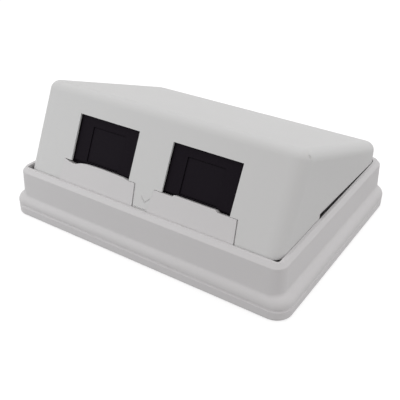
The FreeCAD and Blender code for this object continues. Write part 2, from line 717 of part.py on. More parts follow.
def add_sockets(body):
    """Sockets for the hood's rear hooks, and the knockout between them."""
    nose_top = skirt_z - s.hook_drop + s.hook_nose_tall
    sockets = new_sketch(body, "socket_outlines", "XZ_Plane", -opening_back_y)
    for side in (-1, 1):
        half = s.hook_wide / 2 + s.hook_play
        rectangle(sockets, side * s.hook_x - half, side * s.hook_x + half,
                  skirt_z - s.hook_drop - s.hook_play, nose_top + s.hook_play)
    pocket(body, "hook_sockets", sockets, s.hook_nose + s.hook_play)

    inner = new_sketch(body, "knockout_outline", "XZ_Plane", -opening_back_y)
    half = s.knockout_wide / 2
    low = flange_top
    rectangle(inner, -half, half, low, low + s.knockout_tall)
    drawn_in = (s.wall_rise - s.lip_fall + s.bead_round) * tan_of(s.wall_draft)
    skin = s.base_depth / 2 - s.back_step - drawn_in - opening_back_y
    pocket(body, "knockout", inner, skin - s.knockout_web)


def make_base_screws():
    """Four cross-recessed screws from below, one solid each."""
    body = new_body("base_screws")
    shanks = new_sketch(body, "shank_outlines", "XY_Plane")
    heads = new_sketch(body, "screw_head_outlines", "XY_Plane")
    crosses = new_sketch(body, "cross_recesses", "XY_Plane")
    for x, y in boss_places():
        circle(shanks, x, y, s.screw_radius)
        circle(heads, x, y, s.head_radius)
        cross(crosses, x, y, s.head_radius * s.cross_reach, s.cross_wide / 2)
    pad(body, "shanks", shanks, s.plate_thick + s.screw_grip)
    pad(body, "heads", heads, s.head_tall)
    pocket(body, "cross_slots", crosses, s.cross_deep, back=True)
    return body


# ---------------------------------------------------------------- hood cover


def hood_inside():
    """Y, Z corners of the hollow of the hood, one wall thickness inside the wedge."""
    lean = tan_of(s.face_lean)
    front_y = skirt_front_y + s.hood_wall / cos_of(s.face_lean)
    fall = (ridge_z - top_back_z) / (top_back_y - ridge_y)
    drop = s.hood_wall * root_of(1 + fall * fall)
    inner_ridge_z = (ridge_z - drop - fall * (front_y - skirt_z * lean - ridge_y)) / (1 + fall * lean)
    inner_ridge_y = front_y + (inner_ridge_z - skirt_z) * lean
    back_y = skirt_back_y - s.hood_wall
    back_z = ridge_z - fall * (back_y - ridge_y) - drop
    under = skirt_z - OVERCUT
    return [(front_y - OVERCUT * lean, under), (inner_ridge_y, inner_ridge_z),
            (back_y, back_z), (back_y, under)]


def make_hood_cover():
    """Wedge hood with notched windows, side slots, rear hooks and a front arm."""
    body = new_body("hood_cover")
    wedge = new_sketch(body, "wedge_profile", "YZ_Plane")
    polygon(wedge, [(skirt_front_y, skirt_z), (ridge_y, ridge_z), (top_back_y, top_back_z),
                    (skirt_back_y, skirt_z)])
    pad(body, "wedge", wedge, 2 * s.hood_half, middle=True)
    sides = new_sketch(body, "side_draft_outline", "XZ_Plane")
    over, outer = s.hood_rise + OVERCUT, s.hood_half + OVERCUT
    for side in (-1, 1):
        polygon(sides, [(side * s.hood_half, skirt_z), (side * outer, skirt_z),
                        (side * outer, skirt_z + over),
                        (side * (s.hood_half - over * tan_of(s.hood_draft)), skirt_z + over)])
    pocket(body, "side_draft", sides, 2 * s.base_depth, middle=True)
    dress(body, "Fillet", "hood_corners", upright_edges(body.Shape, lambda p: True), s.hood_corner)
    dress(body, "Fillet", "hood_top", top_face_edges(body.Shape), s.hood_round)

    hollow = new_sketch(body, "hollow_profile", "YZ_Plane")
    polygon(hollow, hood_inside())
    pocket(body, "hollow", hollow, 2 * (s.hood_half - s.hood_wall), middle=True)

    windows = face_sketch(body, "window_outlines", formula(-OVERCUT))
    relief = face_sketch(body, "relief_outlines", s.window_land)
    half, shoulder = s.window_wide / 2, s.window_low + s.shoulder_play
    below = formula(-OVERCUT)
    notch, notch_foot = tab_side(shoulder) + s.tab_play, tab_side(below) + s.tab_play
    top = s.window_low + s.window_tall
    for side in (-1, 1):
        x = side * s.port_offset
        polygon(windows, [(x - notch_foot, below), (x + notch_foot, below), (x + notch, shoulder),
                          (x + half, shoulder), (x + half, top), (x - half, top),
                          (x - half, shoulder), (x - notch, shoulder)])
        rectangle(relief, x - half - s.window_relief, x + half + s.window_relief,
                  shoulder, top + s.window_relief)
    pocket(body, "windows", windows, s.hood_wall + 2 * OVERCUT)
    pocket(body, "window_relief", relief, s.hood_wall)

    slots = new_sketch(body, "side_slot_profile", "YZ_Plane")
    under = skirt_z - OVERCUT
    polygon(slots, [(-s.slot_front, under), (s.slot_back, under), (s.slot_back, lip_top),
                    (-s.slot_front, lip_top + s.slot_gap)])
    pocket(body, "side_slots", slots, 2 * s.base_width, middle=True)
    add_hooks(body)
    return body


def top_face_edges(shape):
    """Names of the edges round the sloping top."""
    top = max((face for face in shape.Faces if face.normalAt(0, 0).z > 0.5
               and isinstance(face.Surface, Part.Plane)), key=lambda face: face.Area)
    return ["Edge%d" % number for number, edge in enumerate(shape.Edges, start=1)
            if any(edge.isSame(other) for other in top.Edges)]


def add_hooks(body):
    """Two rear hooks and the front snap arm, moulded with the hood."""
    arm_back = skirt_back_y - s.hood_play
    arm_front = arm_back - s.hook_thick
    low = skirt_z - s.hook_drop
    nose_y = opening_back_y + s.hook_nose
    nose_top = low + s.hook_nose_tall
    root = skirt_z + OVERCUT
    for side, name in ((-1, "left"), (1, "right")):
        profile = new_sketch(body, name + "_hook_profile", "YZ_Plane",
                             side * s.hook_x - s.hook_wide / 2)
        polygon(profile, [(arm_front, root), (arm_back, root), (arm_back, nose_top),
                          (nose_y, nose_top), (nose_y, low), (arm_front, low)])
        pad(body, name + "_hook", profile, s.hook_wide)
    arm = new_sketch(body, "snap_arm_profile", "YZ_Plane")
    front = skirt_front_y + 2 * s.hood_play
    polygon(arm, [(front, root), (front + s.arm_thick, root),
                  (front + s.arm_thick, skirt_z - s.arm_drop), (front, skirt_z - s.arm_drop)])
    pad(body, "snap_arm", arm, s.arm_wide, middle=True)


# ---------------------------------------------------------------- jack modules

# A module is drawn about the middle of its window: +Y runs into the box along the module
# and +Z up the face. Each piece is then turned back by the face's lean and set at its port.


def seat(item, port):
    """Place a module piece at its port, leaning back with the face."""
    lean = FreeCAD.Rotation(FreeCAD.Vector(1, 0, 0), -s.face_lean.value)
    item.Placement = FreeCAD.Placement(
        FreeCAD.Vector(port * s.port_offset.value, face_y.value, face_z.value), lean)
    item.setExpression("Placement.Base.x", (port * s.port_offset).text)
    item.setExpression("Placement.Base.y", face_y.text)
    item.setExpression("Placement.Base.z", face_z.text)


def numbered(name, port):
    return "%s_%d" % (name, 1 if port < 0 else 2)


def make_jack_housing(port):
    """Black module body with its nose, socket, shutter pocket and pin bores."""
    body = new_body(numbered("jack_housing", port))
    outline = new_sketch(body, "body_outline", "XZ_Plane", -s.body_set)
    half_x, half_z = s.body_wide / 2, s.body_tall / 2
    rectangle(outline, -half_x, half_x, -half_z, half_z)
    pad(body, "main_body", outline, s.body_long, back=True)
    nose = new_sketch(body, "nose_outline", "XZ_Plane", -s.body_set)
    nose_x, nose_z = s.window_wide / 2 - s.nose_play, s.window_tall / 2 - s.nose_play
    rectangle(nose, -nose_x, nose_x, s.tab_land - nose_z, nose_z)
    pad(body, "nose", nose, s.body_set - s.nose_set)

    mouth = new_sketch(body, "socket_outline", "XZ_Plane", -s.nose_set)
    half = s.cavity_wide / 2
    rectangle(mouth, -half, half, -s.cavity_floor, s.cavity_roof)
    pocket(body, "socket", mouth, s.cavity_end - s.nose_set)
    fold = new_sketch(body, "pocket_outline", "XZ_Plane", -s.nose_set - s.pocket_skin)
    rectangle(fold, -half, half, s.cavity_roof - 0.5, s.pocket_roof)
    pocket(body, "shutter_pocket", fold, s.pocket_end - s.nose_set - s.pocket_skin)
    gate = new_sketch(body, "wire_gate_outline", "XZ_Plane", -s.cavity_end + 1)
    gate_half = 4.5 * s.wire_pitch
    rectangle(gate, -gate_half, gate_half, -s.cavity_floor, wire_z + s.wire_thick)
    pocket(body, "wire_gate", gate, body_end - s.cavity_end + 2)
    bore = new_sketch(body, "pin_bore_outline", "YZ_Plane")
    circle(bore, s.pin_y, s.pin_z, s.pin_radius + s.pin_play / 2)
    pocket(body, "pin_bores", bore, 2 * (half + s.pin_seat), middle=True)
    seat(body, port)
    return body


def make_shutter(port):
    """Dust shutter: a plate with two knuckles round the pin."""
    body = new_body(numbered("shutter", port))
    half = s.cavity_wide / 2 - s.shutter_play
    low = s.shutter_play - s.cavity_floor
    high = s.cavity_roof - s.shutter_play
    door = new_sketch(body, "door_profile", "YZ_Plane")
    polygon(door, [(s.shutter_set, low), (shutter_back, low), (shutter_back, high),
                   (s.shutter_set, high)])
    pad(body, "door", door, 2 * half, middle=True)
    # The arms leave the door behind the skin of the module's nose.
    arm_front = s.nose_set + s.pocket_skin + s.shutter_play
    for side in (-1, 1):
        place = (half - s.knuckle_long) if side > 0 else -half
        name = "right" if side > 0 else "left"
        arm = new_sketch(body, name + "_arm_profile", "YZ_Plane", place)
        polygon(arm, [(arm_front, high - 0.5), (shutter_back, high - 0.5),
                      (s.pin_y + knuckle_radius * 0.9, s.pin_z), (s.pin_y - knuckle_radius * 0.9, s.pin_z)])
        pad(body, name + "_arm", arm, s.knuckle_long)
        ring = new_sketch(body, name + "_knuckle_outline", "YZ_Plane", place)
        circle(ring, s.pin_y, s.pin_z, knuckle_radius)
        pad(body, name + "_knuckle", ring, s.knuckle_long)
    bore = new_sketch(body, "knuckle_bore_outline", "YZ_Plane")
    circle(bore, s.pin_y, s.pin_z, s.pin_radius + s.pin_play)
    pocket(body, "knuckle_bore", bore, 2 * s.cavity_wide, middle=True)
    seat(body, port)
    return body


def make_shutter_pin(port):
    body = new_body(numbered("shutter_pin", port))
    profile = new_sketch(body, "pin_outline", "YZ_Plane")
    circle(profile, s.pin_y, s.pin_z, s.pin_radius)
    pad(body, "pin", profile, s.cavity_wide + 2 * s.pin_seat, middle=True)
    seat(body, port)
    return body


def make_shutter_spring(port):
    """Torsion spring: a coil round the pin, with one leg along the shutter."""
    wire, mean = s.spring_wire.value / 2, s.spring_mean.value
    length = s.spring_turns.value * s.spring_pitch.value
    centre = FreeCAD.Vector(-length / 2, s.pin_y.value, s.pin_z.value)
    helix = Part.makeHelix(s.spring_pitch.value, length, mean)
    helix.rotate(FreeCAD.Vector(0, 0, 0), FreeCAD.Vector(0, 1, 0), 90)
    helix.translate(centre)
    start = helix.Edges[0].valueAt(helix.Edges[0].FirstParameter)
    heading = helix.Edges[0].tangentAt(helix.Edges[0].FirstParameter)
    section = Part.Wire(Part.Circle(start, heading, wire).toShape())
    coil = Part.Wire(helix.Edges).makePipeShell([section], True, True)
    lowest = FreeCAD.Vector(start)
    leg_end = FreeCAD.Vector(start.x, shutter_back.value + 1.2 * wire,
                             s.pin_z.value - s.spring_leg.value)
    lean = leg_end - lowest
    leg = Part.makeCylinder(wire, lean.Length, lowest, lean)
    spring = doc.addObject("Part::Feature", numbered("shutter_spring", port))
    spring.Label = numbered("shutter_spring", port)
    spring.Shape = coil.fuse(leg)
    seat(spring, port)
    return spring


def make_contact_wires(port):
    """Eight sprung contacts, each a bent wire of square section."""
    thick = s.wire_thick
    half = thick / 2
    body = new_body(numbered("contact_wires", port))
    low, high = wire_z - half, wire_z + half
    rise, run = s.wire_tip_rise, s.wire_tip_y - s.wire_front
    length = root_of(rise * rise + run * run)
    back_y, back_z = thick * rise / length, thick * run / length
    tail = board_end + 0.4
    for number in range(8):
        place = (number - 3.5) * s.wire_pitch - half
        profile = new_sketch(body, "wire_profile_%d" % number, "YZ_Plane", place)
        polygon(profile, [(s.wire_front - thick, low), (tail, low), (tail, high),
                          (s.wire_front + thick, high),
                          (s.wire_tip_y, high + rise), (s.wire_tip_y - back_y, high + rise + back_z),
                          (s.wire_front - thick, high)])
        pad(body, "wire_%d" % number, profile, thick)
    seat(body, port)
    return body


def make_contact_comb(port):
    """Insert on the socket floor with fins between the contacts."""
    body = new_body(numbered("contact_comb", port))
    half = s.cavity_wide / 2 - s.shutter_play
    front = s.cavity_end - s.comb_long
    floor = -s.cavity_floor
    base = new_sketch(body, "comb_profile", "YZ_Plane")
    polygon(base, [(front, floor), (s.cavity_end, floor), (s.cavity_end, floor + s.comb_base),
                   (front, floor + s.comb_base)])
    pad(body, "comb_base_strip", base, 2 * half, middle=True)
    top = floor + s.comb_base
    for number in range(9):
        place = (number - 4) * s.wire_pitch - s.comb_fin / 2
        fin = new_sketch(body, "fin_profile_%d" % number, "YZ_Plane", place)
        polygon(fin, [(front, top), (s.cavity_end, top), (s.cavity_end, top + s.comb_fin_tall),
                      (front + s.comb_fin_tall, top + s.comb_fin_tall)])
        pad(body, "fin_%d" % number, fin, s.comb_fin)
    seat(body, port)
    return body


def make_circuit_board(port):
    """Board between contacts and terminals, with a row of contact holes."""
    body = new_body(numbered("circuit_board", port))
    outline = new_sketch(body, "board_outline", "XZ_Plane", -body_end)
    half_x, half_z = s.board_wide / 2, s.board_tall / 2
    rectangle(outline, -half_x, half_x, -half_z, half_z)
    pad(body, "board", outline, s.board_thick, back=True)
    holes = new_sketch(body, "board_holes", "XZ_Plane", -body_end)
    for number in range(8):
        circle(holes, (number - 3.5) * s.wire_pitch, wire_z, s.board_hole)
    pocket(body, "contact_holes", holes, s.board_thick)
    seat(body, port)
    return body


def terminals():
    """Middle of each of the eight terminals, as X and Z."""
    return [((column - 1.5) * s.terminal_pitch, row * s.terminal_row)
            for row in (-1, 1) for column in range(4)]


def make_idc_block(port):
    """Terminal block with a wire slot and a crossing blade pocket at each terminal."""
    body = new_body(numbered("idc_block", port))
    outline = new_sketch(body, "block_outline", "XZ_Plane", -board_end)
    half_x, half_z = s.block_wide / 2, s.block_tall / 2
    rectangle(outline, -half_x, half_x, -half_z, half_z)
    pad(body, "block", outline, s.block_long, back=True)
    gate = new_sketch(body, "tail_relief", "XZ_Plane", -board_end)
    gate_half = 4.5 * s.wire_pitch
    rectangle(gate, -gate_half, gate_half, wire_z - s.wire_thick, wire_z + s.wire_thick)
    pocket(body, "contact_tails", gate, formula(1))
    slots = new_sketch(body, "wire_slots", "XZ_Plane", -block_end)
    pockets = new_sketch(body, "blade_pockets", "XZ_Plane", -block_end)
    wide, thick = s.blade_wide / 2 + s.blade_play, s.blade_thick / 2 + s.blade_play
    for x, z in terminals():
        side = 1 if z.value > 0 else -1
        ends = [side * s.terminal_inner, side * half_z]
        ends.sort(key=lambda end: end.value)
        rectangle(slots, x - s.terminal_slot / 2, x + s.terminal_slot / 2, ends[0], ends[1])
        rectangle(pockets, x - wide, x + wide, z - thick, z + thick)
    pocket(body, "wire_slot_cuts", slots, s.terminal_deep, back=True)
    pocket(body, "blade_pocket_cuts", pockets, s.terminal_deep, back=True)
    seat(body, port)
    return body


def make_idc_blades(port):
    """Eight slit blades that stand in the terminal block."""
    body = new_body(numbered("idc_blades", port))
    foot = block_end - s.terminal_deep
    tip = foot + s.blade_long
    half, slit = s.blade_wide / 2, s.blade_slit / 2
    for number, (x, z) in enumerate(terminals()):
        plate = new_sketch(body, "blade_outline_%d" % number, "XY_Plane", z - s.blade_thick / 2)
        polygon(plate, [(x - half, foot), (x + half, foot), (x + half, tip), (x + slit, tip),
                        (x + slit, tip - s.blade_slit_deep), (x - slit, tip - s.blade_slit_deep),
                        (x - slit, tip), (x - half, tip)])
        pad(body, "blade_%d" % number, plate, s.blade_thick)
    seat(body, port)
    return body


def make_wire_cap(port):
    """Cap over the terminals, gripping the block's sides, notched for the wires."""
    body = new_body(numbered("wire_cap", port))
    inner = s.block_wide / 2 + s.cap_play
    outer = inner + s.cap_side
    profile = new_sketch(body, "cap_profile", "XY_Plane", -s.cap_tall / 2)
    near_y, far_y = block_end - s.cap_grip, block_end + s.cap_thick
    polygon(profile, [(-outer, near_y), (-inner, near_y), (-inner, block_end), (inner, block_end),
                      (inner, near_y), (outer, near_y), (outer, far_y), (-outer, far_y)])
    pad(body, "cap", profile, s.cap_tall)
    notches = new_sketch(body, "notch_outlines", "XZ_Plane", -block_end)
    half_z = s.cap_tall / 2
    for x, z in terminals():
        side = 1 if z.value > 0 else -1
        ends = [side * (half_z - s.cap_notch), side * (half_z + 1)]
        ends.sort(key=lambda end: end.value)
        rectangle(notches, x - s.terminal_slot / 2, x + s.terminal_slot / 2, ends[0], ends[1])
    pocket(body, "wire_notches", notches, s.cap_thick)
    seat(body, port)
    return body


# ---------------------------------------------------------------- building, checking and writing

MODULE_PIECES = (make_jack_housing, make_shutter, make_shutter_pin, make_shutter_spring,
                 make_contact_wires, make_contact_comb, make_circuit_board, make_idc_block,
                 make_idc_blades, make_wire_cap)


def build():
    """Make every sub-part and return them in order."""
    parts = [make_back_plate(), make_base_frame(), make_base_screws(), make_hood_cover()]
    for port in (-1, 1):
        parts += [make(port) for make in MODULE_PIECES]
    doc.recompute()
    return parts


def check(parts):
    """Stop if an object failed or a shape is not a sound solid."""
    for item in doc.Objects:
        if "Invalid" in item.State or "Error" in item.State:
            raise ValueError("%s is in state %s" % (item.Name, item.State))
    for item in parts:
        if item.Shape.isNull() or not item.Shape.isValid() or not item.Shape.Solids:
            raise ValueError("%s has no sound solid" % item.Label)


def write(parts):
    """Write each sub-part to its own STEP file."""
    os.makedirs("parts", exist_ok=True)
    for item in parts:
        item.Shape.exportStep("parts/%s.step" % item.Label)
        print("%-18s %2d solids %9.1f mm3" % (item.Label, len(item.Shape.Solids),
                                              item.Shape.Volume))


pieces = build()
check(pieces)
write(pieces)
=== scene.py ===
import json
import math

import bmesh
import bpy
from bpy.props import FloatProperty, FloatVectorProperty, PointerProperty
from mathutils import Matrix, Vector
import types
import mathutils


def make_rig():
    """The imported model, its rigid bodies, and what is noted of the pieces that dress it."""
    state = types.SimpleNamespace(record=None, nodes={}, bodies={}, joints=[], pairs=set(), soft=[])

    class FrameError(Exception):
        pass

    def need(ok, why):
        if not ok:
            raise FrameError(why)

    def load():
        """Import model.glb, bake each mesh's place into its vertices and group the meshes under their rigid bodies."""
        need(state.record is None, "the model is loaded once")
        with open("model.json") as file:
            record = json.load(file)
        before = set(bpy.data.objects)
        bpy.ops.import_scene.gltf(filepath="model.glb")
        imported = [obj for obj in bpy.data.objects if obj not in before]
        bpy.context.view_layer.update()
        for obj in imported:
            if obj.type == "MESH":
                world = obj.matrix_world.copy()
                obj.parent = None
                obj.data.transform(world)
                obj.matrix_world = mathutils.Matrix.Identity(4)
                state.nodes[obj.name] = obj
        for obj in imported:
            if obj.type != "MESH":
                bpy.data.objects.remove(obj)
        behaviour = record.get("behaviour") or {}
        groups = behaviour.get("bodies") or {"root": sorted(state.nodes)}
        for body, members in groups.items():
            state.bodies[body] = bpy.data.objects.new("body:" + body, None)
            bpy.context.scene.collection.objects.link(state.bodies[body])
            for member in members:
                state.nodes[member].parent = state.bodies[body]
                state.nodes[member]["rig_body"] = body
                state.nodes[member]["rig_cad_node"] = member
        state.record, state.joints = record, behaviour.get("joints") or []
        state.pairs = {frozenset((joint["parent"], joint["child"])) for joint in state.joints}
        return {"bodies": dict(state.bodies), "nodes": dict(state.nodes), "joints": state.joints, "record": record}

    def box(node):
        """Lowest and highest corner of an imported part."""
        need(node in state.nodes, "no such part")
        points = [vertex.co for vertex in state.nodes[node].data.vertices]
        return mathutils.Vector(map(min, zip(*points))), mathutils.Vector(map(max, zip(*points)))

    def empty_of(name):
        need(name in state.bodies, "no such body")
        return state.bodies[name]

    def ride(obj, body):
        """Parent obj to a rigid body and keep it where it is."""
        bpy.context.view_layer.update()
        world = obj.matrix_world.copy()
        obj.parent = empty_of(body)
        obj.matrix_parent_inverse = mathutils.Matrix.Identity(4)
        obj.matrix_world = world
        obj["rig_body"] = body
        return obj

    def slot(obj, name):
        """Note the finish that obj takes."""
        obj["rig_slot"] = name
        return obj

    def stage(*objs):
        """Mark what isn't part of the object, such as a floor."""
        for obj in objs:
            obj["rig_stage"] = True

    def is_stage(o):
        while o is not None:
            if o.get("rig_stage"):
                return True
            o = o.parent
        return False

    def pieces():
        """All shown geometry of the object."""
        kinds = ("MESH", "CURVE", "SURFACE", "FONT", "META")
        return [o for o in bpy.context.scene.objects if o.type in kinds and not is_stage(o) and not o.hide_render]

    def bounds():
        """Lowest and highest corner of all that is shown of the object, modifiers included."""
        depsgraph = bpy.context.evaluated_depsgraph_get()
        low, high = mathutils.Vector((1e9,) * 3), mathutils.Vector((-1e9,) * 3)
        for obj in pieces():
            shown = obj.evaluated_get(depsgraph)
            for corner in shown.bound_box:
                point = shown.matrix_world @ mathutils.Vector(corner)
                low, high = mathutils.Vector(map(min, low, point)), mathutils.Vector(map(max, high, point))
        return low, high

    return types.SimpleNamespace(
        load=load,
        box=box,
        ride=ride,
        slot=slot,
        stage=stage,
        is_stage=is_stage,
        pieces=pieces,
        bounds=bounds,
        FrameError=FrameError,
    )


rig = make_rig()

bl_info = {
    "name": "Surface mount jack box finishes",
    "version": (1, 0, 0),
    "blender": (4, 5, 0),
    "location": "View3D > Sidebar > Jack Box",
    "description": "Finishes, wiring colour chips and studio for a two-port surface mount jack box",
    "category": "Object",
}

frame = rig.load()
CAD_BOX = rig.bounds()
PORTS = (1, 2)


# ---------------------------------------------------------------- sizes and colours


def colour_property(name, description, default):
    return FloatVectorProperty(name=name, description=description, default=default,
                               subtype="COLOR", size=3, min=0.0, max=1.0)


def length_property(name, description, default):
    return FloatProperty(name=name, description=description, default=default, min=0.0,
                         subtype="DISTANCE", unit="LENGTH")


class WhiteMouldings(bpy.types.PropertyGroup):
    hood: colour_property("Hood", "Colour of the hood's plastic", (0.640, 0.639, 0.636))
    # The hood, surround and back plate are one white plastic; the surround's pinker tint and the back plate's lighter,
    # pinker colour are painted light.
    surround: colour_property("Surround", "Colour of the surround's plastic",
                              (0.642, 0.630, 0.634))
    plate: colour_property("Back plate", "Colour of the back plate's plastic",
                           (0.660, 0.646, 0.652))
    grain: length_property("Grain", "Width of the fine moulded texture", 0.0006)
    relief: length_property("Relief", "Depth of the fine moulded texture", 0.000004)
    roughness: FloatProperty(name="Roughness", description="Roughness of the white plastic",
                             default=0.55, min=0.0, max=1.0)


class ModulePlastics(bpy.types.PropertyGroup):
    housing: colour_property("Housing", "Colour of the jack housings", (0.0072, 0.0048, 0.0080))
    shutter: colour_property("Shutter", "Colour of the dust shutters", (0.0074, 0.0050, 0.0083))
    comb: colour_property("Comb", "Colour of the contact combs", (0.030, 0.028, 0.032))
    cap: colour_property("Wire cap", "Colour of the wire caps", (0.030, 0.030, 0.033))
    terminals: colour_property("Terminal block", "Colour of the terminal blocks",
                               (0.52, 0.51, 0.47))
    board: colour_property("Board", "Colour of the circuit board's lacquer", (0.012, 0.085, 0.030))


class MetalFinishes(bpy.types.PropertyGroup):
    contact: colour_property("Contacts", "Colour of the plated contacts", (0.83, 0.60, 0.25))
    blade: colour_property("Blades", "Colour of the tinned blades", (0.62, 0.61, 0.58))
    spring: colour_property("Springs", "Colour of the spring wire", (0.45, 0.45, 0.45))
    pin: colour_property("Pins", "Colour of the shutter pins", (0.55, 0.55, 0.56))
    screw: colour_property("Screws", "Colour of the plated screws", (0.56, 0.57, 0.58))


class ChipSizes(bpy.types.PropertyGroup):
    width: length_property("Width", "Width of a wiring colour chip", 0.0024)
    height: length_property("Height", "Height of a wiring colour chip", 0.0016)
    thickness: length_property("Thickness", "How far a chip stands out of the cap", 0.0003)
    edge: length_property("Edge", "Bevel round a chip", 0.0001)


class StudioLook(bpy.types.PropertyGroup):
    lens: FloatProperty(name="Lens", description="Focal length of the camera in mm",
                        default=54.774, min=1.0)
    fill: FloatProperty(name="Fill", description="Strength of the light from all round",
                        default=0.75, min=0.0)
    fill_colour: colour_property("Fill colour", "Colour of the light from all round",
                                 (1.0, 0.975, 0.97))
    rear: FloatProperty(name="Rear", description="Power of the high lamp behind the box",
                        default=0.62, min=0.0, unit="POWER")
    rear_colour: colour_property("Rear colour", "Colour of the rear lamp", (0.91, 0.975, 1.0))
    left: FloatProperty(name="Left", description="Power of the lamp at the left front",
                        default=0.128, min=0.0, unit="POWER")
    left_colour: colour_property("Left colour", "Colour of the left lamp", (0.92, 0.98, 1.0))
    right: FloatProperty(name="Right", description="Power of the lamp at the right",
                         default=0.52, min=0.0, unit="POWER")
    right_colour: colour_property("Right colour", "Colour of the right lamp", (0.93, 0.98, 1.0))
    floor: colour_property("Floor", "Colour of the floor", (0.40, 0.40, 0.40))
    floor_glow: FloatProperty(name="Floor glow", description="How bright the floor shows by itself",
                              default=0.72, min=0.0, max=1.0)


# ---------------------------------------------------------------- material helpers

# How far the noises change a surface. The middle band of a noise is where it changes it.
NOISE_BAND = (0.3, 0.7)
PLASTIC_CLOUD = 0.03
PLASTIC_SHADE = 0.015
PLASTIC_ROUGH = 0.04
STREAK_SHADES = (0.9, 1.08)
STREAK_ROUGH = (-0.08, 0.1)
STREAK_DEPTH = 0.000003


def new_material(name):
    """A node material with its shader. Returns the material, its nodes, links and shader."""
    material = bpy.data.materials.new(name)
    material.use_nodes = True
    nodes, links = material.node_tree.nodes, material.node_tree.links
    return material, nodes, links, nodes["Principled BSDF"]


def maths(nodes, links, operation, first, second=None):
    """A Math node fed by sockets or numbers. Returns its output."""
    node = nodes.new("ShaderNodeMath")
    node.operation = operation
    for place, value in enumerate((first, second)):
        if value is None:
            continue
        if isinstance(value, bpy.types.NodeSocket):
            links.new(value, node.inputs[place])
        else:
            node.inputs[place].default_value = value
    return node.outputs[0]


def fade(nodes, links, value, near, far, at_near=1.0, at_far=0.0):
    """Turns a distance into a strength that changes smoothly from near to far."""
    node = nodes.new("ShaderNodeMapRange")
    node.interpolation_type = "SMOOTHSTEP"
    links.new(value, node.inputs["Value"])
    node.inputs["From Min"].default_value = near
    node.inputs["From Max"].default_value = far
    node.inputs["To Min"].default_value = at_near
    node.inputs["To Max"].default_value = at_far
    return node.outputs["Result"]


def noise(nodes, links, where, size, detail=2.0, roughness=0.5):
    """Noise with features about that many metres across."""
    node = nodes.new("ShaderNodeTexNoise")
    node.inputs["Scale"].default_value = 1.0 / size
    node.inputs["Detail"].default_value = detail
    node.inputs["Roughness"].default_value = roughness
    links.new(where, node.inputs["Vector"])
    return node.outputs["Fac"]


def shades(nodes, links, fac, dark, light):
    """A colour that runs from dark to light with fac."""
    node = nodes.new("ShaderNodeMix")
    node.data_type = "RGBA"
    links.new(fac, node.inputs["Factor"])
    node.inputs["A"].default_value = (*dark, 1.0)
    node.inputs["B"].default_value = (*light, 1.0)
    return node.outputs["Result"]


def tinted(colour, factor):
    return tuple(min(1.0, channel * factor) for channel in colour)


def bump(nodes, links, height, depth, shader, before=None):
    """Raises the surface by height times depth in metres. Returns the normal."""
    node = nodes.new("ShaderNodeBump")
    node.inputs["Strength"].default_value = 1.0
    node.inputs["Distance"].default_value = depth
    links.new(height, node.inputs["Height"])
    if before is not None:
        links.new(before, node.inputs["Normal"])
    links.new(node.outputs["Normal"], shader.inputs["Normal"])
    return node.outputs["Normal"]


def object_point(nodes):
    return nodes.new("ShaderNodeTexCoord").outputs["Object"]


def distance_to(nodes, links, where, centre, stretch=(1.0, 1.0, 1.0)):
    """Distance from a point, with each axis stretched first."""
    apart = nodes.new("ShaderNodeVectorMath")
    apart.operation = "SUBTRACT"
    links.new(where, apart.inputs[0])
    apart.inputs[1].default_value = centre
    scaled = nodes.new("ShaderNodeVectorMath")
    scaled.operation = "MULTIPLY"
    links.new(apart.outputs[0], scaled.inputs[0])
    scaled.inputs[1].default_value = stretch
    length = nodes.new("ShaderNodeVectorMath")
    length.operation = "LENGTH"
    links.new(scaled.outputs[0], length.inputs[0])
    return length.outputs["Value"]


def moulded_plastic(name, colour, roughness, grain, relief, specular=0.4):
    """Plastic with a fine moulded grain and slight shade changes. Returns its parts."""
    material, nodes, links, shader = new_material(name)
    where = object_point(nodes)
    cloud = noise(nodes, links, where, PLASTIC_CLOUD, detail=1.0)
    tone = shades(nodes, links, cloud, tinted(colour, 1 - PLASTIC_SHADE),
                  tinted(colour, 1 + PLASTIC_SHADE))
    links.new(tone, shader.inputs["Base Color"])
    fine = noise(nodes, links, where, grain, detail=3.0, roughness=0.6)
    normal = bump(nodes, links, fine, relief, shader)
    links.new(fade(nodes, links, fine, *NOISE_BAND, roughness - PLASTIC_ROUGH,
                   roughness + PLASTIC_ROUGH),
              shader.inputs["Roughness"])
    shader.inputs["Specular IOR Level"].default_value = specular
    return material, nodes, links, shader, where, tone, normal


def metal(name, colour, roughness, streaks, stretch):
    """Plated or drawn metal with fine streaks along one way."""
    material, nodes, links, shader = new_material(name)
    where = object_point(nodes)
    scaled = nodes.new("ShaderNodeMapping")
    scaled.inputs["Scale"].default_value = stretch
    links.new(where, scaled.inputs["Vector"])
    lines = noise(nodes, links, scaled.outputs["Vector"], streaks, detail=3.0)
    dark, light = (tinted(colour, shade) for shade in STREAK_SHADES)
    tone = shades(nodes, links, lines, dark, light)
    links.new(tone, shader.inputs["Base Color"])
    shader.inputs["Metallic"].default_value = 1.0
    links.new(fade(nodes, links, lines, *NOISE_BAND,
                   *(roughness + change for change in STREAK_ROUGH)),
              shader.inputs["Roughness"])
    bump(nodes, links, lines, STREAK_DEPTH, shader)
    return material


def dress(material, *nodes):
    """Puts one material on CAD nodes."""
    for name in nodes:
        data = frame["nodes"][name].data
        data.materials.clear()
        data.materials.append(material)


def both(name):
    """The node's name at each port."""
    return ["%s_%d" % (name, port) for port in PORTS]


# ---------------------------------------------------------------- operators


# The nick sits at the right end of the ridge, so far in from the hood's right, front and top.
NICK_IN = (0.0009, 0.0142, 0.0016)
NICK_STRETCH = (1.0, 1.4, 0.8)
NICK_FADE = (0.0003, 0.0007)
# The chevron is two faint strokes below the bar between the windows.
CHEVRON_X, CHEVRON_FOOT = 0.0012, 0.0180
CHEVRON_CLIMB = 0.9
CHEVRON_STROKE = (0.00005, 0.0003)
CHEVRON_END = (0.0013, 0.0017)
CHEVRON_BAND = 0.004
# The nick and the chevron are shallow dents; their darker colour is painted shade in the dents.
DENT_AND_SHADE_STRENGTH = 0.55
PAINTED_DENT_SHADE = (0.80, 0.79, 0.78)
DENT_DEPTH = 0.00025


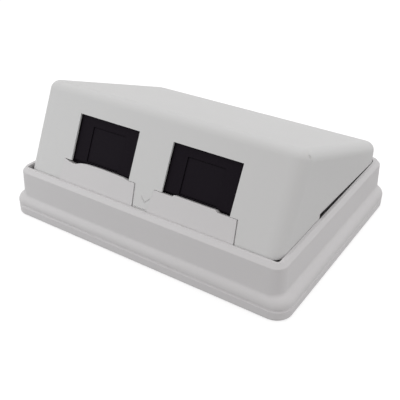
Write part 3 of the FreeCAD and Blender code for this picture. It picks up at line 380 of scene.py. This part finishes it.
class JACKBOX_OT_hood(bpy.types.Operator):
    """Finish the hood: fine grain, a nick at the ridge and a chevron below the middle bar, both dented and darkened
    with painted shade
    """
    bl_idname = "jackbox.hood"
    bl_label = "Hood"

    def execute(self, context):
        look = context.scene.jackbox_white
        parts = moulded_plastic("white_hood_plastic", tuple(look.hood), look.roughness,
                                look.grain, look.relief)
        material, nodes, links, shader, where, tone, normal = parts
        low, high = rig.box("hood_cover")
        nick_at = (high.x - NICK_IN[0], low.y + NICK_IN[1], high.z - NICK_IN[2])
        nick = fade(nodes, links, distance_to(nodes, links, where, nick_at, NICK_STRETCH),
                    *NICK_FADE)
        axes = nodes.new("ShaderNodeSeparateXYZ")
        links.new(where, axes.inputs[0])
        across = maths(nodes, links, "ABSOLUTE",
                       maths(nodes, links, "SUBTRACT", axes.outputs["X"], CHEVRON_X))
        climb = maths(nodes, links, "MULTIPLY", across, CHEVRON_CLIMB)
        level = maths(nodes, links, "SUBTRACT", axes.outputs["Z"], CHEVRON_FOOT)
        off = maths(nodes, links, "ABSOLUTE", maths(nodes, links, "SUBTRACT", level, climb))
        line = maths(nodes, links, "MULTIPLY", fade(nodes, links, off, *CHEVRON_STROKE),
                     fade(nodes, links, across, *CHEVRON_END))
        front = maths(nodes, links, "LESS_THAN", axes.outputs["Y"], low.y + CHEVRON_BAND)
        mark = maths(nodes, links, "MULTIPLY", line, front)
        # Painted shade: the nick and the chevron are tinted darker as well as dented.
        dents_and_shade = maths(nodes, links, "MULTIPLY", DENT_AND_SHADE_STRENGTH,
                      maths(nodes, links, "ADD", nick, mark))
        painted_shade = shades(nodes, links, dents_and_shade, (1.0, 1.0, 1.0), PAINTED_DENT_SHADE)
        product = nodes.new("ShaderNodeMix")
        product.data_type = "RGBA"
        product.blend_type = "MULTIPLY"
        product.inputs["Factor"].default_value = 1.0
        links.new(tone, product.inputs["A"])
        links.new(painted_shade, product.inputs["B"])
        links.new(product.outputs["Result"], shader.inputs["Base Color"])
        bump(nodes, links, maths(nodes, links, "SUBTRACT", 1.0, dents_and_shade), DENT_DEPTH, shader,
             normal)
        dress(material, "hood_cover")
        return {"FINISHED"}


# Ring marks of ejector pins: their place as shares of the plate's half size, then the ring.
PIN_SHARE_X, PIN_SHARE_Y = 0.62, 0.72
PIN_RADIUS = 0.0025
PIN_LINE = (0.00005, 0.00030)
PIN_DEPTH = 0.0001
PLATE_UNDER = 0.0004
PLATE_COARSER = 1.5


class JACKBOX_OT_base(bpy.types.Operator):
    """Finish the surround and the back plate, with pin marks under the plate"""
    bl_idname = "jackbox.base"
    bl_label = "Surround and back plate"

    def execute(self, context):
        look = context.scene.jackbox_white
        # The surround's and the plate's colours differ from the hood's only by painted light.
        surround = moulded_plastic("white_surround_plastic", tuple(look.surround),
                                   look.roughness, look.grain, look.relief)[0]
        dress(surround, "base_frame")
        parts = moulded_plastic("white_plate_plastic", tuple(look.plate), look.roughness,
                                look.grain, look.relief * PLATE_COARSER)
        material, nodes, links, shader, where, tone, normal = parts
        low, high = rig.box("back_plate")
        fold = nodes.new("ShaderNodeVectorMath")
        fold.operation = "ABSOLUTE"
        links.new(where, fold.inputs[0])
        pin_at = (high.x * PIN_SHARE_X, high.y * PIN_SHARE_Y, 0.0)
        gap = distance_to(nodes, links, fold.outputs[0], pin_at, (1.0, 1.0, 0.0))
        off = maths(nodes, links, "ABSOLUTE", maths(nodes, links, "SUBTRACT", gap, PIN_RADIUS))
        ring = fade(nodes, links, off, *PIN_LINE)
        axes = nodes.new("ShaderNodeSeparateXYZ")
        links.new(where, axes.inputs[0])
        under = maths(nodes, links, "LESS_THAN", axes.outputs["Z"], low.z + PLATE_UNDER)
        marks = maths(nodes, links, "MULTIPLY", ring, under)
        bump(nodes, links, maths(nodes, links, "SUBTRACT", 1.0, marks), PIN_DEPTH, shader,
             normal)
        dress(material, "back_plate")
        return {"FINISHED"}


# Name, size that holds the colour, roughness and CAD node of each module plastic.
MODULE_PLASTICS = (
    ("black_housing_plastic", "housing", 0.75, "jack_housing"),
    ("black_shutter_plastic", "shutter", 0.72, "shutter"),
    ("black_comb_plastic", "comb", 0.55, "contact_comb"),
    ("black_cap_plastic", "cap", 0.50, "wire_cap"),
    ("natural_terminal_plastic", "terminals", 0.48, "idc_block"),
)
MODULE_GRAIN, MODULE_RELIEF, MODULE_SPECULAR = 0.0004, 0.000005, 0.10
WEAVE_SCALE = 1400.0
WEAVE_SHADES = (0.93, 1.07)
WEAVE_DEPTH = 0.000002
LACQUER_CLOUD = 0.002
LACQUER_ROUGH = (0.24, 0.34)


class JACKBOX_OT_modules(bpy.types.Operator):
    """Finish the plastic pieces and the board of each jack module"""
    bl_idname = "jackbox.modules"
    bl_label = "Jack modules"

    def execute(self, context):
        look = context.scene.jackbox_modules
        for name, colour, rough, node in MODULE_PLASTICS:
            material = moulded_plastic(name, tuple(getattr(look, colour)), rough, MODULE_GRAIN,
                                       MODULE_RELIEF, MODULE_SPECULAR)[0]
            dress(material, *both(node))
        material, nodes, links, shader = new_material("green_board_lacquer")
        where = object_point(nodes)
        weave = nodes.new("ShaderNodeTexChecker")
        weave.inputs["Scale"].default_value = WEAVE_SCALE
        links.new(where, weave.inputs["Vector"])
        dark, light = (tinted(look.board, shade) for shade in WEAVE_SHADES)
        cloth = shades(nodes, links, weave.outputs["Fac"], dark, light)
        links.new(cloth, shader.inputs["Base Color"])
        cloud = noise(nodes, links, where, LACQUER_CLOUD)
        links.new(fade(nodes, links, cloud, *NOISE_BAND, *LACQUER_ROUGH),
                  shader.inputs["Roughness"])
        bump(nodes, links, weave.outputs["Fac"], WEAVE_DEPTH, shader)
        dress(material, *both("circuit_board"))
        return {"FINISHED"}


# Name, size that holds the colour, roughness, streak width, stretch and CAD nodes of each metal.
METALS = (
    ("gold_plating", "contact", 0.24, 0.0008, (6.0, 1.0, 1.0), both("contact_wires")),
    ("tin_plating", "blade", 0.38, 0.0006, (1.0, 1.0, 4.0), both("idc_blades")),
    ("drawn_spring_steel", "spring", 0.30, 0.0003, (6.0, 1.0, 1.0), both("shutter_spring")),
    ("ground_pin_steel", "pin", 0.28, 0.0003, (1.0, 5.0, 5.0), both("shutter_pin")),
    ("zinc_plating", "screw", 0.34, 0.0008, (1.0, 1.0, 5.0), ["base_screws"]),
)


class JACKBOX_OT_metals(bpy.types.Operator):
    """Finish the contacts, blades, springs, pins and screws"""
    bl_idname = "jackbox.metals"
    bl_label = "Metal pieces"

    def execute(self, context):
        look = context.scene.jackbox_metals
        for name, colour, rough, streaks, stretch, nodes in METALS:
            dress(metal(name, tuple(getattr(look, colour)), rough, streaks, stretch), *nodes)
        return {"FINISHED"}


# Pair colours of the usual wiring order, solid and pale, with no lettering.
WIRE_COLOURS = (
    ("orange_chip", (0.72, 0.18, 0.02)), ("pale_orange_chip", (0.78, 0.48, 0.30)),
    ("green_chip", (0.02, 0.28, 0.06)), ("pale_green_chip", (0.34, 0.58, 0.38)),
    ("blue_chip", (0.02, 0.08, 0.48)), ("pale_blue_chip", (0.30, 0.42, 0.70)),
    ("brown_chip", (0.13, 0.045, 0.015)), ("pale_brown_chip", (0.42, 0.30, 0.22)),
)
# The caps lean with the hood's face. The chips stand in two rows, one beside each terminal.
CAP_LEAN = math.radians(25.2)
CHIP_COLUMNS, CHIP_ROWS = 4, 2
CHIP_PITCH, CHIP_ROW_GAP = 0.0046, 0.0072
CHIP_ROUGH, CHIP_GRAIN, CHIP_RELIEF = 0.42, 0.0003, 0.000004


class JACKBOX_OT_wire_chips(bpy.types.Operator):
    """Colour chips on the back of each wire cap, one beside each terminal"""
    bl_idname = "jackbox.wire_chips"
    bl_label = "Wiring colour chips"

    def execute(self, context):
        sizes = context.scene.jackbox_chips
        for port in PORTS:
            self.make(port, sizes)
        return {"FINISHED"}

    def make(self, port, sizes):
        low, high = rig.box("wire_cap_%d" % port)
        turn = Matrix.Rotation(-CAP_LEAN, 4, "X")
        # The cap's back face is the part of it that lies farthest along the module.
        along, up = turn @ Vector((0, 1, 0)), turn @ Vector((0, 0, 1))
        points = [vertex.co for vertex in frame["nodes"]["wire_cap_%d" % port].data.vertices]
        far = max(point.dot(along) for point in points)
        levels = [point.dot(up) for point in points]
        middle = (Vector(((low.x + high.x) / 2, 0, 0)) + along * far
                  + up * (max(levels) + min(levels)) / 2)
        mesh = bpy.data.meshes.new("wire_chips_%d" % port)
        shape = bmesh.new()
        for number in range(CHIP_COLUMNS * CHIP_ROWS):
            row, column = divmod(number, CHIP_COLUMNS)
            chip = bmesh.ops.create_cube(shape, size=1.0)["verts"]
            bmesh.ops.scale(shape, vec=(sizes.width, sizes.thickness, sizes.height), verts=chip)
            place = Vector(((column - (CHIP_COLUMNS - 1) / 2) * CHIP_PITCH, 0,
                            (row - (CHIP_ROWS - 1) / 2) * CHIP_ROW_GAP))
            bmesh.ops.transform(shape, matrix=Matrix.Translation(middle) @ turn
                                @ Matrix.Translation(place), verts=chip)
            for face in {face for vertex in chip for face in vertex.link_faces}:
                face.material_index = number
        bmesh.ops.bevel(shape, geom=shape.edges[:], offset=sizes.edge, offset_type="OFFSET",
                        segments=2, profile=0.5, affect="EDGES", material=-1)
        bmesh.ops.recalc_face_normals(shape, faces=shape.faces[:])
        shape.to_mesh(mesh)
        shape.free()
        for name, colour in WIRE_COLOURS:
            material = bpy.data.materials.get(name)
            if material is None:
                material = moulded_plastic(name, colour, CHIP_ROUGH, CHIP_GRAIN, CHIP_RELIEF)[0]
            mesh.materials.append(material)
        piece = bpy.data.objects.new("wire_chips_%d" % port, mesh)
        bpy.context.scene.collection.objects.link(piece)
        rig.slot(piece, "cap_plastic")
        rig.ride(piece, "base")


# Name, place and width of each lamp.
LAMPS = (
    ("rear", (0.0, 0.35, 0.6), 0.4),
    ("left", (-0.16, -0.20, 0.12), 0.12),
    ("right", (0.62, 0.05, 0.35), 0.4),
)
LAMP_AIM = Vector((0.0, 0.0, 0.02))
FLOOR_RADIUS = 3.0
FLOOR_DROP = 0.0001
# The opening under the box ends this far inside the plate's edge, with rounded corners.
FLOOR_INSET = 0.0015
FLOOR_CORNER = 0.005
CORNER_STEPS = 8
FLOOR_CLOUD = 0.4
FLOOR_SHADE = 0.02
FLOOR_ROUGH = 0.9
CAMERA_PLACE = (0.09557876, -0.14878895, 0.10816011)
CAMERA_TURN = (0.84166888, 0.45707367, 0.13016595, 0.25638639)
CAMERA_SHIFT = (-0.0048, 0.06206)
CAMERA_NEAR = 0.005


def background_rays(nodes, links):
    """1 where the background itself is seen, plainly, in gloss or through glass, else 0."""
    path = nodes.new("ShaderNodeLightPath")
    seen = maths(nodes, links, "MAXIMUM", path.outputs["Is Camera Ray"],
                 path.outputs["Is Glossy Ray"])
    return maths(nodes, links, "MAXIMUM", seen, path.outputs["Is Transmission Ray"])


def floor_material(look):
    """A grey floor that shows white, keeps a soft shadow and is clear from below."""
    material, nodes, links, shader = new_material("studio_floor_paint")
    where = object_point(nodes)
    cloud = noise(nodes, links, where, FLOOR_CLOUD)
    links.new(shades(nodes, links, cloud, tinted(look.floor, 1 - FLOOR_SHADE),
                     tinted(look.floor, 1 + FLOOR_SHADE)), shader.inputs["Base Color"])
    shader.inputs["Roughness"].default_value = FLOOR_ROUGH
    shader.inputs["Specular IOR Level"].default_value = 0.0
    shader.inputs["Emission Color"].default_value = (1.0, 1.0, 1.0, 1.0)
    links.new(maths(nodes, links, "MULTIPLY", background_rays(nodes, links), look.floor_glow),
              shader.inputs["Emission Strength"])
    clear = nodes.new("ShaderNodeBsdfTransparent")
    side = nodes.new("ShaderNodeNewGeometry")
    whole = nodes.new("ShaderNodeMixShader")
    links.new(side.outputs["Backfacing"], whole.inputs[0])
    links.new(shader.outputs[0], whole.inputs[1])
    links.new(clear.outputs[0], whole.inputs[2])
    links.new(whole.outputs[0], nodes["Material Output"].inputs["Surface"])
    return material


class JACKBOX_OT_stage(bpy.types.Operator):
    """White floor, soft lamps and the camera"""
    bl_idname = "jackbox.stage"
    bl_label = "Stage"

    def execute(self, context):
        look = context.scene.jackbox_studio
        scene = context.scene
        mesh = bpy.data.meshes.new("floor")
        shape = bmesh.new()
        self.floor(shape)
        shape.to_mesh(mesh)
        shape.free()
        mesh.materials.append(floor_material(look))
        floor = bpy.data.objects.new("floor", mesh)
        scene.collection.objects.link(floor)
        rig.stage(floor)

        world = bpy.data.worlds.new("studio_world")
        world.use_nodes = True
        nodes, links = world.node_tree.nodes, world.node_tree.links
        back = nodes["Background"]
        seen = background_rays(nodes, links)
        links.new(fade(nodes, links, seen, 0.0, 1.0, look.fill, 1.0), back.inputs["Strength"])
        links.new(shades(nodes, links, seen, look.fill_colour, (1.0, 1.0, 1.0)),
                  back.inputs["Color"])
        scene.world = world

        for name, place, size in LAMPS:
            self.lamp(scene, name, place, size, getattr(look, name),
                      getattr(look, name + "_colour"))

        camera = bpy.data.objects.new("camera", bpy.data.cameras.new("camera"))
        camera.location = CAMERA_PLACE
        camera.rotation_mode = "QUATERNION"
        camera.rotation_quaternion = CAMERA_TURN
        camera.data.lens = look.lens
        camera.data.shift_x, camera.data.shift_y = CAMERA_SHIFT
        camera.data.clip_start = CAMERA_NEAR
        scene.collection.objects.link(camera)
        scene.camera = camera
        scene.view_settings.view_transform = "Standard"
        return {"FINISHED"}

    def floor(self, shape):
        """A wide disc, open under the box so that the back of the plate is lit too."""
        low, high = CAD_BOX
        level = low.z - FLOOR_DROP
        within = FLOOR_INSET + FLOOR_CORNER
        loops = []
        for quarter in range(4):
            middle = math.radians(45 + 90 * quarter)
            corner = Vector((math.copysign(high.x - within, math.cos(middle)),
                             math.copysign(high.y - within, math.sin(middle)), 0.0))
            for step in range(CORNER_STEPS):
                turn = math.radians(90 * (quarter + step / (CORNER_STEPS - 1)))
                inner = corner + FLOOR_CORNER * Vector((math.cos(turn), math.sin(turn), 0.0))
                outer = inner.normalized() * FLOOR_RADIUS
                loops.append([shape.verts.new((point.x, point.y, level))
                              for point in (inner, outer)])
        for (near, far), (next_near, next_far) in zip(loops, loops[1:] + loops[:1]):
            shape.faces.new((near, far, next_far, next_near))

    def lamp(self, scene, name, place, size, power, colour):
        data = bpy.data.lights.new(name + "_lamp", "AREA")
        data.size = size
        data.energy = power
        data.color = colour
        lamp = bpy.data.objects.new(name + "_lamp", data)
        lamp.location = place
        lamp.visible_camera = False
        lamp.rotation_mode = "QUATERNION"
        lamp.rotation_quaternion = (LAMP_AIM - Vector(place)).to_track_quat("-Z", "Y")
        scene.collection.objects.link(lamp)


# ---------------------------------------------------------------- panel and registering


class JACKBOX_PT_panel(bpy.types.Panel):
    """Lists the jack box's steps"""
    bl_idname = "JACKBOX_PT_panel"
    bl_label = "Jack Box"
    bl_space_type = "VIEW_3D"
    bl_region_type = "UI"
    bl_category = "Jack Box"

    def draw(self, context):
        for step in STEPS:
            self.layout.operator(step.bl_idname)


GROUPS = (
    ("jackbox_white", WhiteMouldings),
    ("jackbox_modules", ModulePlastics),
    ("jackbox_metals", MetalFinishes),
    ("jackbox_chips", ChipSizes),
    ("jackbox_studio", StudioLook),
)
STEPS = (JACKBOX_OT_base, JACKBOX_OT_hood, JACKBOX_OT_modules, JACKBOX_OT_metals,
         JACKBOX_OT_wire_chips, JACKBOX_OT_stage)


def register():
    for name, group in GROUPS:
        bpy.utils.register_class(group)
        setattr(bpy.types.Scene, name, PointerProperty(type=group))
    for cls in STEPS:
        bpy.utils.register_class(cls)
    bpy.utils.register_class(JACKBOX_PT_panel)


def unregister():
    bpy.utils.unregister_class(JACKBOX_PT_panel)
    for cls in reversed(STEPS):
        bpy.utils.unregister_class(cls)
    for name, group in reversed(GROUPS):
        delattr(bpy.types.Scene, name)
        bpy.utils.unregister_class(group)


def main():
    register()
    bpy.ops.jackbox.base()
    bpy.ops.jackbox.hood()
    bpy.ops.jackbox.modules()
    bpy.ops.jackbox.metals()
    bpy.ops.jackbox.wire_chips()
    bpy.ops.jackbox.stage()
    boxes = {"cad": [list(corner) for corner in CAD_BOX],
             "visual": [list(corner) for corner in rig.bounds()]}
    with open("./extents.json", "w") as size_file:
        json.dump(boxes, size_file)


if __name__ == "__main__":
    main()
